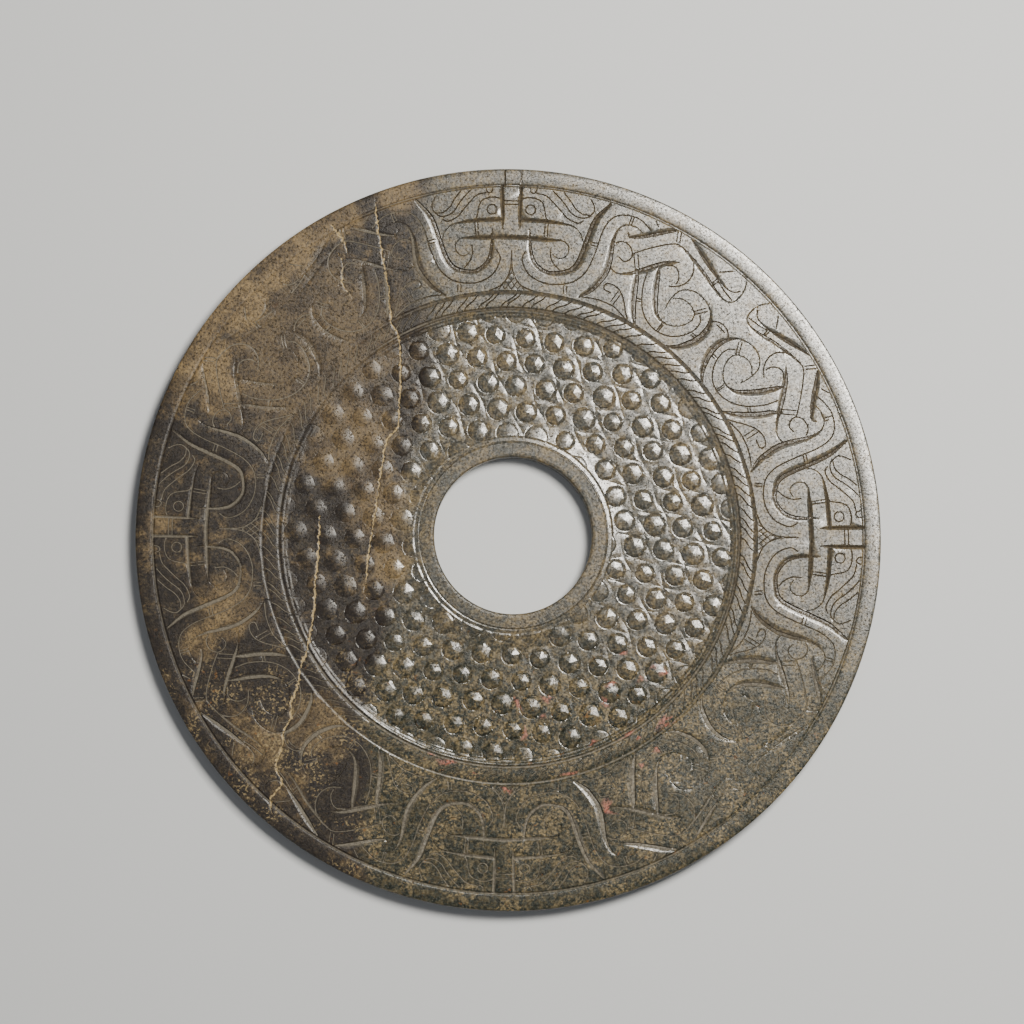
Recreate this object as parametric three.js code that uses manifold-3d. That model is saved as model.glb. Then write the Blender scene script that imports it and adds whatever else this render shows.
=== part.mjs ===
// A jade bi disc of the Western Han kind: a flat stone ring, carved on its face with an
// outer frieze of four masks, each with dragon ribbons running out to both sides, a
// twisted-cord band, and a sunk field of pointed grains around a plain inner band.
// Millimetres, +Z up. The disc lies face up, and the origin is under its centre.

import * as THREE from 'three';
import { mergeVertices } from 'three/addons/utils/BufferGeometryUtils.js';
import Module from 'manifold-3d';

const wasm = await Module();
wasm.setup();

// ---- Driving dimensions ----------------------------------------------------------------

const OUTER_RADIUS = 120;
const THICKNESS = 6.4;
const HOLE_RADIUS = 25.4;
const HOLE_OFFSET = [1.2, 0.4]; // the hole was drilled slightly off the disc's centre
const HOLE_EDGE = 0.5; // worn slope around both ends of the hole
const ROUND_STEPS = 68;
const HOLE_STEPS = 36;

// Radii of the face's bands, from the rim inwards.
const RIM_SHOULDER_RADIUS = 119.4;
const RIM_RIDGE_RADIUS = 116.9;
const RIM_GROOVE_RADIUS = 114.8;
const FRIEZE_OUTER = 113.8;
const FRIEZE_INNER = 80.2;
const BORDER_RADIUS = 79.7;
const CORD_OUTER = 78.8;
const CORD_INNER = 74.6;
const LIP_GROOVE_RADIUS = 74;
const LIP_RADIUS = 73.4;
const FIELD_OUTER = 72.4;
const BAND_FOOT_RADIUS = 31.6;
const FIELD_INNER = 31.2;
const RING_LINE_OUTER = 30.65;
const RING_LINE_RADIUS = 30.3;
const RING_LINE_INNER = 29.8;

// Depths below the face.
const RIM_DROP = 1.5;
const RIM_SHOULDER_DROP = 0.6;
const RIM_RIDGE_DROP = 0.1;
const RIM_GROOVE_DEPTH = 0.7;
const BORDER_DEPTH = 0.5;
const CORD_DROP = 0.12;
const LIP_GROOVE_DEPTH = 0.6;
const FIELD_DEPTH = 1.05;
const INNER_BAND_DROP = 0.1;
const BAND_SHOULDER_DROP = 0.55;
const RING_LINE_RIM_DROP = 0.2;
const RING_LINE_DEPTH = 0.65;
const SPARE = 1; // how far a helper solid reaches past the surface it cuts or joins

// The plainer back: a raised band to lie on, and a slightly sunk centre.
const BACK_BAND_INNER = 80.2;
const BACK_SINK = 0.4;
const BACK_SLOPE = 0.9;
const BACK_RIM_WIDTH = 3;
const BACK_RIM_RISE = 0.7;

// Grains stand on a slanted lattice, with sharp valleys between their rows.
const GRAIN_STEP = new THREE.Vector2(9.36, -1.06);
const GRAIN_ROW = new THREE.Vector2(3.25, -8.3);
const GRAIN_START = new THREE.Vector2(24.2, 38.3);
const GRAIN_REACH = 12;
const GRAIN_HEIGHT = 1.05;
const GRAIN_SIDES = 6;
const GRAIN_SPREAD = 0.49; // a grain's foot, as a share of the step between grains
const GRAIN_ROOT = 0.3; // how far a grain is sunk in the field's floor
const GRAIN_OVERLAP = 0.1; // how far the field's grains run into the lip

// The four masks were laid out by hand: degrees clockwise from the top of each mask's
// middle line. Each half is stretched to meet its neighbour.
const MASK_TURNS = [0.4, 90, 181, 271.4];
const HALF_MOTIF_DEGREES = 45;
const CUT_LEAN = 0.75; // how far a cut's floor lies towards its steep side
const CUT_OVERSHOOT = 1.4; // a cutter stands this much taller than its cut is deep

// ---- Solids ----------------------------------------------------------------------------

function toSolid(geometry) {
  const plain = geometry.clone();
  plain.deleteAttribute('normal');
  plain.deleteAttribute('uv');
  const merged = mergeVertices(plain, 1e-4);
  return new wasm.Manifold(new wasm.Mesh({
    numProp: 3,
    vertProperties: new Float32Array(merged.attributes.position.array),
    triVerts: new Uint32Array(merged.index.array),
  }));
}

function toGeometry(solid) {
  const mesh = solid.getMesh();
  const geometry = new THREE.BufferGeometry();
  geometry.setAttribute('position', new THREE.BufferAttribute(mesh.vertProperties, 3));
  geometry.setIndex(new THREE.BufferAttribute(mesh.triVerts, 1));
  geometry.computeVertexNormals();
  return geometry;
}

// Turns a profile of [radius, height] points, listed from the bottom up along its outside.
function turned(profile, steps) {
  const points = profile.map(([radius, height]) => new THREE.Vector2(radius, height));
  const geometry = new THREE.LatheGeometry(points, steps);
  geometry.rotateX(Math.PI / 2);
  return geometry;
}

// ---- The blank: the disc's outline and the bands of its face ------------------------------

function blank() {
  const face = THICKNESS;
  const floor = face - FIELD_DEPTH;
  const cordFace = face - CORD_DROP;
  const profile = [
    [0, BACK_SINK],
    [BACK_BAND_INNER - BACK_SLOPE, BACK_SINK],
    [BACK_BAND_INNER, 0],
    [OUTER_RADIUS - BACK_RIM_WIDTH, 0],
    [OUTER_RADIUS, BACK_RIM_RISE],
    [OUTER_RADIUS, face - RIM_DROP],
    [RIM_SHOULDER_RADIUS, face - RIM_SHOULDER_DROP],
    [RIM_RIDGE_RADIUS, face - RIM_RIDGE_DROP],
    [RIM_GROOVE_RADIUS, face - RIM_GROOVE_DEPTH],
    [FRIEZE_OUTER, face],
    [FRIEZE_INNER, face],
    [BORDER_RADIUS, face - BORDER_DEPTH],
    [CORD_OUTER, cordFace],
    [CORD_INNER, cordFace],
    [LIP_GROOVE_RADIUS, face - LIP_GROOVE_DEPTH],
    [LIP_RADIUS, cordFace],
    [FIELD_OUTER, floor],
    [0, floor],
  ];
  return toSolid(turned(profile, ROUND_STEPS));
}

function innerBand() {
  const face = THICKNESS - INNER_BAND_DROP;
  const foot = THICKNESS - FIELD_DEPTH - SPARE;
  const profile = [
    [0, foot],
    [BAND_FOOT_RADIUS, foot],
    [FIELD_INNER, THICKNESS - BAND_SHOULDER_DROP],
    [RING_LINE_OUTER, THICKNESS - RING_LINE_RIM_DROP],
    [RING_LINE_RADIUS, THICKNESS - RING_LINE_DEPTH],
    [RING_LINE_INNER, face],
    [0, face],
  ];
  const geometry = turned(profile, HOLE_STEPS);
  geometry.translate(...HOLE_OFFSET, 0);
  return toSolid(geometry);
}

function hole() {
  const face = THICKNESS - INNER_BAND_DROP;
  const wide = HOLE_RADIUS + HOLE_EDGE + SPARE;
  const profile = [
    [0, BACK_SINK - SPARE],
    [wide, BACK_SINK - SPARE],
    [HOLE_RADIUS, BACK_SINK + HOLE_EDGE],
    [HOLE_RADIUS, face - HOLE_EDGE],
    [wide, face + SPARE],
    [0, face + SPARE],
  ];
  const geometry = turned(profile, HOLE_STEPS);
  geometry.translate(...HOLE_OFFSET, 0);
  return toSolid(geometry);
}

// ---- The grain field -----------------------------------------------------------------------

// One grain: a six-sided point whose flanks run down to its neighbours' valleys.
function grain() {
  const foot = GRAIN_STEP.length() * GRAIN_SPREAD;
  const points = [
    [0, -GRAIN_ROOT],
    [foot, -GRAIN_ROOT],
    [foot, 0],
    [0, GRAIN_HEIGHT],
  ];
  const geometry = turned(points, GRAIN_SIDES);
  geometry.rotateZ(Math.atan2(GRAIN_STEP.y, GRAIN_STEP.x));
  return geometry;
}

function grainField() {
  const shape = grain();
  const floor = THICKNESS - FIELD_DEPTH;
  const grains = [];
  for (let column = -GRAIN_REACH; column <= GRAIN_REACH; column += 1) {
    for (let row = -GRAIN_REACH; row <= GRAIN_REACH; row += 1) {
      const at = GRAIN_START.clone()
        .addScaledVector(GRAIN_STEP, column)
        .addScaledVector(GRAIN_ROW, row);
      const fromHole = at.distanceTo(new THREE.Vector2(...HOLE_OFFSET));
      const inField = at.length() < FIELD_OUTER + SPARE && fromHole > FIELD_INNER - SPARE;
      if (inField) {
        grains.push(toSolid(shape.clone().translate(at.x, at.y, floor)));
      }
    }
  }
  const ring = toSolid(turned([
    [0, floor - SPARE],
    [FIELD_OUTER + GRAIN_OVERLAP, floor - SPARE],
    [FIELD_OUTER + GRAIN_OVERLAP, THICKNESS + SPARE],
    [0, THICKNESS + SPARE],
  ], ROUND_STEPS));
  return wasm.Manifold.union(grains).intersect(ring);
}

// ---- The frieze ----------------------------------------------------------------------------

// Half of one mask and its ribbons, drawn once. A point is [degrees from the mask's
// middle line, millimetres out from the frieze's inner edge]. widths has one value per
// point. A positive lean puts the steep wall on the left of the stroke's direction.
const HALF_MOTIF = {
  nose: {
    points: [[1.6, 34], [1.6, 20]],
    widths: [1.4, 0.6], lean: 0, depth: 0.5,
  },
  brow: {
    points: [[1.7, 23.2], [7, 23.2], [11, 23]],
    widths: [1.6, 1.3, 0.4], lean: 0, depth: 0.5,
  },
  mouth: {
    points: [[0, 17.3], [6, 17.4], [8.6, 17.6]],
    widths: [1.5, 1.3, 0.4], lean: 0, depth: 0.5,
  },
  jaw: {
    points: [[3.5, 19.5], [4.1, 11.2], [7.9, 6.4], [12.6, 9.1], [14.3, 20.6], [16.4, 32.9]],
    widths: [0.5, 1.6, 1.6, 2.1, 2.2, 1], lean: 1, depth: 0.7,
  },
  ribbonBack: {
    points: [[18.9, 25.6], [18.7, 18], [18.8, 10.5], [15.7, 1]],
    widths: [0.5, 2, 2.3, 0.8], lean: 1, depth: 0.7,
  },
  bodyTop: {
    points: [[21.1, 24.9], [24.6, 28.6], [28.2, 33.4]],
    widths: [0.5, 2, 1], lean: -1, depth: 0.6,
  },
  bodyUnder: {
    points: [[22.3, 12.7], [26.8, 17.7], [31.8, 25]],
    widths: [0.4, 2.1, 0.5], lean: 1, depth: 0.6,
  },
  tailTop: {
    points: [[31.6, 33.6], [36, 30], [40.3, 27.3]],
    widths: [0.8, 1.9, 0.4], lean: -1, depth: 0.6,
  },
  tailUnder: {
    points: [[30.8, 29.7], [36.6, 26.2], [41, 23.9]],
    widths: [0.5, 1.4, 0.5], lean: 1, depth: 0.5,
  },
  spiralBack: {
    points: [[24.8, 16.2], [26.3, 8.6], [30.3, 0]],
    widths: [0.7, 2.4, 0.7], lean: 1, depth: 0.7,
  },
  spiralHeart: {
    points: [[28.4, 21.8], [30.1, 13.6], [32.9, 6.7], [36.6, 5.8]],
    widths: [0.4, 2.2, 1.4, 0.4], lean: 1, depth: 0.7,
  },
  spiralFront: {
    points: [[41.2, 18.4], [43.4, 11], [41.7, 3], [39.3, 0]],
    widths: [0.5, 2.4, 1.8, 0.7], lean: -1, depth: 0.7,
  },
};
const TURN_PER_STATION = THREE.MathUtils.degToRad(26);
const TURN_SAMPLES = 24;
const CORNERS = 3; // a cutter is a three-sided bar

// A stroke gets more stations the more it curves, and at least one stretch per point.
function stationCount(path) {
  let turn = 0;
  for (let i = 1; i <= TURN_SAMPLES; i += 1) {
    const before = path.getTangent((i - 1) / TURN_SAMPLES);
    turn += path.getTangent(i / TURN_SAMPLES).angleTo(before);
  }
  return Math.max(path.points.length - 1, Math.ceil(turn / TURN_PER_STATION));
}

// A cutter: a bar that follows the stroke, with its sharp floor edge underneath.
function cutter(stroke, toPlace, mirrored) {
  const path = new THREE.SplineCurve(stroke.points.map(toPlace));
  const stations = stationCount(path);
  const widest = Math.max(...stroke.widths);
  const positions = [];
  for (let i = 0; i <= stations; i += 1) {
    const along = i / stations;
    const t = along * (stroke.widths.length - 1);
    const before = Math.min(Math.floor(t), stroke.widths.length - 2);
    const width = THREE.MathUtils.lerp(
      stroke.widths[before], stroke.widths[before + 1], t - before);
    const depth = stroke.depth * Math.sqrt(width / widest);
    const at = path.getPoint(along);
    const ahead = path.getTangent(along);
    const across = new THREE.Vector2(-ahead.y, ahead.x);
    const floorShift = stroke.lean * (mirrored ? -1 : 1) * CUT_LEAN * width / 2;
    const left = floorShift + (width / 2 - floorShift) * CUT_OVERSHOOT;
    const right = floorShift - (width / 2 + floorShift) * CUT_OVERSHOOT;
    const top = THICKNESS + depth * (CUT_OVERSHOOT - 1);
    const corners = [[left, top], [floorShift, THICKNESS - depth], [right, top]];
    for (const [side, height] of corners) {
      positions.push(at.x + across.x * side, at.y + across.y * side, height);
    }
  }
  const index = [0, 1, 2];
  for (let i = 0; i < stations; i += 1) {
    for (let side = 0; side < CORNERS; side += 1) {
      const a = i * CORNERS + side;
      const b = i * CORNERS + ((side + 1) % CORNERS);
      index.push(a, a + CORNERS, b, b, a + CORNERS, b + CORNERS);
    }
  }
  const end = stations * CORNERS;
  index.push(end, end + 2, end + 1);
  const geometry = new THREE.BufferGeometry();
  geometry.setAttribute('position', new THREE.Float32BufferAttribute(positions, 3));
  geometry.setIndex(index);
  return toSolid(geometry);
}

function friezeCuts() {
  const cuts = [];
  const masks = MASK_TURNS.length;
  for (let mask = 0; mask < masks; mask += 1) {
    for (const side of [1, -1]) {
      const neighbour = MASK_TURNS[(mask + side + masks) % masks];
      const gap = THREE.MathUtils.euclideanModulo((neighbour - MASK_TURNS[mask]) * side, 360);
      const stretch = gap / 2 / HALF_MOTIF_DEGREES;
      const toPlace = ([degrees, height]) => {
        const turn = MASK_TURNS[mask] + side * stretch * degrees;
        const clockwise = THREE.MathUtils.degToRad(turn);
        const radius = FRIEZE_INNER + height;
        return new THREE.Vector2(radius * Math.sin(clockwise), radius * Math.cos(clockwise));
      };
      for (const stroke of Object.values(HALF_MOTIF)) {
        cuts.push(cutter(stroke, toPlace, side < 0));
      }
    }
  }
  return wasm.Manifold.union(cuts);
}

// ---- The disc ------------------------------------------------------------------------------

const solid = blank()
  .add(grainField())
  .add(innerBand())
  .subtract(hole())
  .subtract(friezeCuts());

const jade = new THREE.MeshStandardMaterial({ color: 0x8a8a7c, roughness: 0.32, metalness: 0 });
const disc = new THREE.Mesh(toGeometry(solid), jade);
disc.name = 'disc';

const bi = new THREE.Group();
bi.add(disc);

export default bi;
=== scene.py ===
# %% [markdown]
# # A carved jade bi disc
#
# A bi is a flat ring of jade. This one has an outer frieze of four masks, each with
# dragon ribbons that run out to both sides, then a band carved as a twisted cord, and a
# sunk field of small pointed grains around a plain inner band. It is one piece of stone,
# so it is one mesh here. The plain disc is turned on a spin, and the carving is cut into
# it with strokes, in the order in which a jade carver works: bands, then the wide slanted
# cuts, then the fine lines, and the grains last.

# %% Load the frame
import math

import bmesh
import bpy
import numpy as np
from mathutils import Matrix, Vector


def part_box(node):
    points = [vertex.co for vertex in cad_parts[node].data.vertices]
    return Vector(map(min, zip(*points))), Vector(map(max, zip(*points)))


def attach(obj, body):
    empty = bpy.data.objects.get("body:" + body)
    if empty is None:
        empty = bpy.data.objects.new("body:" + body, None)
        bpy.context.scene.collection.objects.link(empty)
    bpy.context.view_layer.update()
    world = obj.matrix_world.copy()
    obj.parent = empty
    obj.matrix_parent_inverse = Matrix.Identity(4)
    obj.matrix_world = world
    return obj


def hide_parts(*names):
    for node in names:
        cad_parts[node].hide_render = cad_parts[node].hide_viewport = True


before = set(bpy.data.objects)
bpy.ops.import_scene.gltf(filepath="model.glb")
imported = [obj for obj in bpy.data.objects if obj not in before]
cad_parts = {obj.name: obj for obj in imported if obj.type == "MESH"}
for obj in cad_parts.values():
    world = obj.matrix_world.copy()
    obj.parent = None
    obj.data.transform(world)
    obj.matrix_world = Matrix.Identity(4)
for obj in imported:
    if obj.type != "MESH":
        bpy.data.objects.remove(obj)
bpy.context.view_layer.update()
disc_low, disc_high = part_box("disc")
print("the disc's box in the frame, mm:", [round(1000 * v, 2) for v in (*disc_low, *disc_high)])

# %% [markdown]
# ## The sizes
#
# Everything is worked out in millimetres, as a carver would measure it, and turned into
# metres once, when the mesh is finished. The radii are those of the bands of the face,
# from the rim inwards.

# %% Sizes of the bands
OUTER_RADIUS = 1000 * (disc_high[0] - disc_low[0]) / 2
FACE = 1000 * disc_high[2]
HOLE_RADIUS = 25.4
HOLE_SHIFT = np.array([1.2, 0.4])
FRIEZE_OUTER = 113.8
FRIEZE_INNER = 80.2
CORD_OUTER = 78.8
CORD_INNER = 74.6
LIP = 73.4
FIELD_OUTER = 72.4
FIELD_INNER = 31.9
RING_LINE = 30.3
FIELD_FLOOR = FACE - 1.05
BACK_SINK = 0.4
HOLE_TOP = 5.8
HOLE_FOOT = 0.95
RIM_TOP = 5.7
RIM_FOOT = 0.75
MASK_TURNS = [0.4, 90.0, 181.0, 271.4]
rng = np.random.default_rng(7)
print("outer radius", round(OUTER_RADIUS, 2), "thickness", round(FACE, 2))

# %% [markdown]
# ## The blank
#
# A stone disc can be modelled as a cylinder with a hole, as a cut curve, or as a profile
# that is spun around the axis. The spin is chosen, because its rings then lie along the
# bands of the face. The profile is spun with few steps, which is quick, and a simple
# subdivision makes it fine enough to hold a line half a millimetre wide. The spin and its
# weld leave the faces in no fixed order, so they are sorted before they become a mesh:
# the thinning at the end then gives the same triangles every time.

# %% Spin the blank
SPIN_STEPS = 320
FINE_LEVELS = 3


def ring_radii(start, end, step):
    count = max(1, round(abs(end - start) / step))
    return [start + (end - start) * i / count for i in range(1, count + 1)]


front_rings = [HOLE_RADIUS + 0.5, 28.1, 29.9, 30.8, FIELD_INNER]
front_rings += ring_radii(FIELD_INNER, FIELD_OUTER, 2.0)
front_rings += [LIP, CORD_INNER, 76.7, CORD_OUTER, FRIEZE_INNER]
front_rings += ring_radii(FRIEZE_INNER, FRIEZE_OUTER, 1.8)
front_rings += [114.9, 116.9, OUTER_RADIUS - 0.7]
back_rings = [117.0, 116.2, 115.4, 98.0, 81.0, FRIEZE_INNER, 79.3]
back_rings += ring_radii(79.3, FIELD_INNER, 6.8) + [30.8, 29.8, HOLE_RADIUS + 0.5]

outline = [(HOLE_RADIUS, HOLE_TOP)]
outline += [(radius, FACE) for radius in front_rings]
outline += [(OUTER_RADIUS, RIM_TOP), (OUTER_RADIUS, RIM_FOOT)]
outline += [(radius, BACK_SINK if radius < FRIEZE_INNER else 0.0) for radius in back_rings]
outline += [(HOLE_RADIUS, HOLE_FOOT)]

blank = bmesh.new()
corners = [blank.verts.new((radius, 0, height)) for radius, height in outline]
for first, second in zip(corners, corners[1:] + corners[:1]):
    blank.edges.new((first, second))
bmesh.ops.spin(blank, geom=blank.verts[:] + blank.edges[:], cent=(0, 0, 0),
               axis=(0, 0, 1), angle=2 * math.pi, steps=SPIN_STEPS, use_merge=True)
bmesh.ops.recalc_face_normals(blank, faces=blank.faces[:])
blank.verts.index_update()
quads = []
for face in blank.faces:
    loop = [corner.index for corner in face.verts]
    start = loop.index(min(loop))
    quads.append(loop[start:] + loop[:start])
mesh = bpy.data.meshes.new("blank")
mesh.from_pydata([corner.co.copy() for corner in blank.verts], [], sorted(quads))
blank.free()
disc = bpy.data.objects.new("carved_disc", mesh)
bpy.context.scene.collection.objects.link(disc)
print("spun blank:", len(mesh.vertices), "points")

# %% Refine the blank
def apply_modifiers(piece):
    graph = bpy.context.evaluated_depsgraph_get()
    fine = bpy.data.meshes.new_from_object(piece.evaluated_get(graph))
    piece.modifiers.clear()
    rough = piece.data
    piece.data = fine
    bpy.data.meshes.remove(rough)


finer = disc.modifiers.new("finer", "SUBSURF")
finer.subdivision_type = "SIMPLE"
finer.levels = FINE_LEVELS
finer.render_levels = FINE_LEVELS
apply_modifiers(disc)
points = np.empty(3 * len(disc.data.vertices), np.float32)
disc.data.vertices.foreach_get("co", points)
points = points.reshape(-1, 3).astype(float)
print("fine blank:", len(points), "points")

# %% [markdown]
# The subdivision rounds its last digits a little differently each time, and that would
# change the triangles too. The rings and the steps of the spin are known, so every point
# is laid back exactly on its own ring and its own share of a step.

# %% Lay the points back on their rings
def nearest(table, values):
    table = np.unique(np.round(table, 3))
    after = np.clip(np.searchsorted(table, values), 1, len(table) - 1)
    below = values - table[after - 1] < table[after] - values
    return np.where(below, table[after - 1], table[after])


STEP_ANGLE = 2 * math.pi / SPIN_STEPS
ROUNDING = 1e-4


def step_direction(step):
    return np.stack([np.cos(step * STEP_ANGLE), np.sin(step * STEP_ANGLE)], axis=1)


parts = 2 ** FINE_LEVELS
closed = np.array(outline + outline[:1])
part = (np.arange(parts) / parts)[:, None]
ring_places = (closed[:-1, None] + part * np.diff(closed, axis=0)[:, None]).reshape(-1, 2)
turned = np.arctan2(points[:, 1], points[:, 0])
step = np.floor(turned / STEP_ANGLE + ROUNDING)
past = turned - step * STEP_ANGLE
share = np.sin(past) / (np.sin(past) + np.sin(STEP_ANGLE - past))
share = (np.round(parts * share) / parts)[:, None]
step %= SPIN_STEPS
direction = (1 - share) * step_direction(step) + share * step_direction(step + 1)
ring = np.hypot(points[:, 0], points[:, 1]) / np.hypot(*direction.T)
exact_ring = nearest(ring_places[:, 0], ring)
points[:, :2] = exact_ring[:, None] * direction
points[:, 2] = nearest(ring_places[:, 1], points[:, 2])
print("largest move onto a ring, mm:", round(float(np.abs(ring - exact_ring).max()), 4))

# %% [markdown]
# ## The bands of the face
#
# The height of the face depends only on the distance from the middle: inner band, ring
# line, sunk field, lip, cord, border groove, frieze, rim groove and the worn slope of the
# rim. A table of a few heights gives that section. The hole was drilled a little off the
# centre, so the inner bands slide over towards it and the outer ones stay.

# %% Section of the face and of the back
FACE_SECTION = [
    (HOLE_RADIUS, FACE - 0.6), (25.9, FACE - 0.15), (26.6, FACE - 0.1), (29.9, FACE - 0.1),
    (RING_LINE, FACE - 0.36), (30.7, FACE - 0.24), (FIELD_INNER, FACE - 0.42), (34.0, FACE - 0.75),
    (37.0, FIELD_FLOOR), (71.3, FIELD_FLOOR), (FIELD_OUTER, FACE - 0.5), (73.0, FACE - 0.14),
    (LIP, FACE - 0.1), (73.7, FACE - 0.3), (74.0, FACE - 0.52), (74.3, FACE - 0.5),
    (74.8, FACE - 0.12), (75.6, FACE - 0.07),
    (76.9, FACE - 0.06), (78.2, FACE - 0.08), (CORD_OUTER, FACE - 0.14), (79.3, FACE - 0.42),
    (79.8, FACE - 0.3), (FRIEZE_INNER, FACE), (FRIEZE_OUTER, FACE), (114.3, FACE - 0.38),
    (114.6, FACE - 0.42), (114.9, FACE - 0.16), (115.4, FACE - 0.06), (117.0, FACE - 0.05),
    (118.6, FACE - 0.08), (119.5, FACE - 0.16), (119.8, FACE - 0.34),
    (OUTER_RADIUS, RIM_TOP),
]
BACK_SECTION = [
    (HOLE_RADIUS, HOLE_FOOT), (25.9, BACK_SINK + 0.05), (29.9, BACK_SINK), (30.3, BACK_SINK + 0.3),
    (30.8, BACK_SINK), (79.3, BACK_SINK), (FRIEZE_INNER, 0.0), (115.4, 0.0), (115.8, 0.35),
    (116.2, 0.0), (117.0, 0.0), (OUTER_RADIUS, RIM_FOOT),
]
LOWEST_OF_FACE = 5.1
HIGHEST_OF_BACK = 0.7


def section(table, radius):
    radii, heights = zip(*table)
    return np.interp(radius, radii, heights)


def ease(value, start, end):
    t = np.clip((value - start) / (end - start), 0, 1)
    return t * t * (3 - 2 * t)


radius = np.hypot(points[:, 0], points[:, 1])
clear_of_hole = radius > HOLE_RADIUS + 0.01
on_face = (points[:, 2] > LOWEST_OF_FACE) & clear_of_hole
on_back = (points[:, 2] < HIGHEST_OF_BACK) & clear_of_hole
face_height = section(FACE_SECTION, radius)
back_height = section(BACK_SECTION, radius)
slide = 1 - ease(radius, FIELD_INNER, FIELD_OUTER)
points[:, :2] += slide[:, None] * HOLE_SHIFT
face_points = np.nonzero(on_face)[0]
print("points on the face:", len(face_points))

# %% [markdown]
# ## Strokes
#
# The carver cuts with small wheels, so every mark is a stroke: a route, a width at each
# of its points and a depth. A fine line is a narrow V. A wide cut leans: its floor lies
# near one side, which is steep, and the other side slopes away over the ribbon beside it.
# Booleans could cut these, but hundreds of them break easily on stone this flat. So each
# stroke lowers the points of the fine disc under it. Points close to the stroke's edges
# and floor are first moved onto them, which keeps the arrises clean.

# %% A grid of cells to find points quickly
CELL = 2.0
CELLS = int(2 * OUTER_RADIUS / CELL) + 2


class Finder:
    """Finds the points that lie in a small window of the plane."""

    def __init__(self, plane):
        self.plane = plane
        where = np.floor((plane + OUTER_RADIUS) / CELL).astype(int)
        cell = where[:, 1] * CELLS + where[:, 0]
        self.order = np.argsort(cell, kind="stable")
        self.start = np.searchsorted(cell[self.order], np.arange(CELLS * CELLS + 1))

    def window(self, low, high):
        first = np.clip(np.floor((low + OUTER_RADIUS) / CELL).astype(int), 0, CELLS - 1)
        last = np.clip(np.floor((high + OUTER_RADIUS) / CELL).astype(int), 0, CELLS - 1)
        rows = [self.order[self.start[row * CELLS + first[0]]:self.start[row * CELLS + last[0] + 1]]
                for row in range(first[1], last[1] + 1)]
        return np.concatenate(rows)


# %% [markdown]
# ### Routes
#
# A stroke's route is given by a few points. A smooth curve runs through all of them, and is
# stepped finely enough to look round. The width changes evenly from one point to the next,
# as it does when the wheel is lowered and lifted again.

# %% Routes and strokes
STATION = 0.6


def smooth_route(points_in, widths):
    """A smooth curve through a few points, with a station about every STATION mm."""
    knots = np.array(points_in, float)
    widths = np.broadcast_to(np.array(widths, float), len(knots))
    if len(knots) > 2:
        padded = np.vstack([2 * knots[0] - knots[1], knots, 2 * knots[-1] - knots[-2]])
    else:
        padded = np.vstack([2 * knots[0] - knots[1], knots, 2 * knots[1] - knots[0]])
    route = []
    breadth = []
    for i in range(len(knots) - 1):
        a, b, c, d = padded[i:i + 4]
        count = max(2, int(np.linalg.norm(c - b) / STATION))
        t = (np.arange(count) / count)[:, None]
        route.append(0.5 * (2 * b + (c - a) * t + (2 * a - 5 * b + 4 * c - d) * t ** 2
                            + (3 * b - a - 3 * c + d) * t ** 3))
        breadth.append(widths[i] + (widths[i + 1] - widths[i]) * t[:, 0])
    route.append(knots[-1:])
    breadth.append(widths[-1:])
    return np.vstack(route), np.concatenate(breadth)


def make_stroke(knots, widths, depth, lean=0):
    route, breadth = smooth_route(knots, widths)
    return {"route": route, "breadth": breadth, "lean": lean, "depth": depth}


# %% [markdown]
# ### Under a stroke
#
# Each stretch of a route asks the finder for the points beside it, and works out how far
# along and how far to the side of it they lie. Two jobs use that: moving points onto the
# edges and the floor of the cut, and lowering them.

# %% Snap and carve
FLOOR_LEAN = 0.72
GENTLE_SIDE = 1.3


def under_stroke(finder, stroke, spare):
    """Yields, for each stretch of a stroke, the points under it and where they lie."""
    route, breadth = stroke["route"], stroke["breadth"]
    for a, b, wide_a, wide_b in zip(route[:-1], route[1:], breadth[:-1], breadth[1:]):
        reach = max(wide_a, wide_b) / 2 + spare
        near = finder.window(np.minimum(a, b) - reach, np.maximum(a, b) + reach)
        if len(near) == 0:
            continue
        ahead = b - a
        length = np.linalg.norm(ahead)
        if length < 1e-9:
            continue
        ahead = ahead / length
        left = np.array([-ahead[1], ahead[0]])
        offset = finder.plane[near] - a
        along = np.clip(offset @ ahead / length, 0, 1)
        across = offset @ left
        beyond = np.linalg.norm(offset - (along * length)[:, None] * ahead, axis=1)
        half = (wide_a + (wide_b - wide_a) * along) / 2
        inside = beyond < half + spare
        yield near[inside], along[inside], across[inside], beyond[inside], half[inside], left


def snap_moves(finder, strokes, spare):
    moves = np.zeros_like(finder.plane)
    best = np.full(len(finder.plane), spare)
    for stroke in strokes:
        for near, along, across, beyond, half, left in under_stroke(finder, stroke, spare):
            level = (along > 0) & (along < 1)
            near, across, half = near[level], across[level], half[level]
            for target in (-half, FLOOR_LEAN * stroke["lean"] * half, half):
                gap = target - across
                closer = np.abs(gap) < best[near]
                chosen = near[closer]
                best[chosen] = np.abs(gap[closer])
                moves[chosen] = gap[closer, None] * left
    return moves


def carve(finder, strokes):
    """The depth of the carving at every point of the finder."""
    carved = np.zeros(len(finder.plane))
    for stroke in strokes:
        widest = stroke["breadth"].max()
        for near, along, across, beyond, half, left in under_stroke(finder, stroke, 0.0):
            side = np.where(across < 0, -beyond, beyond)
            floor_at = FLOOR_LEAN * stroke["lean"] * half
            rise = np.where(side > floor_at, (half - side) / (half - floor_at),
                            (half + side) / (half + floor_at))
            rise = np.clip(rise, 0, 1)
            if stroke["lean"]:
                rise = np.where(side * stroke["lean"] > floor_at * stroke["lean"],
                                rise, rise ** GENTLE_SIDE)
            depth = stroke["depth"] * np.sqrt(2 * half / widest) * rise
            carved[near] = np.maximum(carved[near], depth)
    return carved


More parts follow.
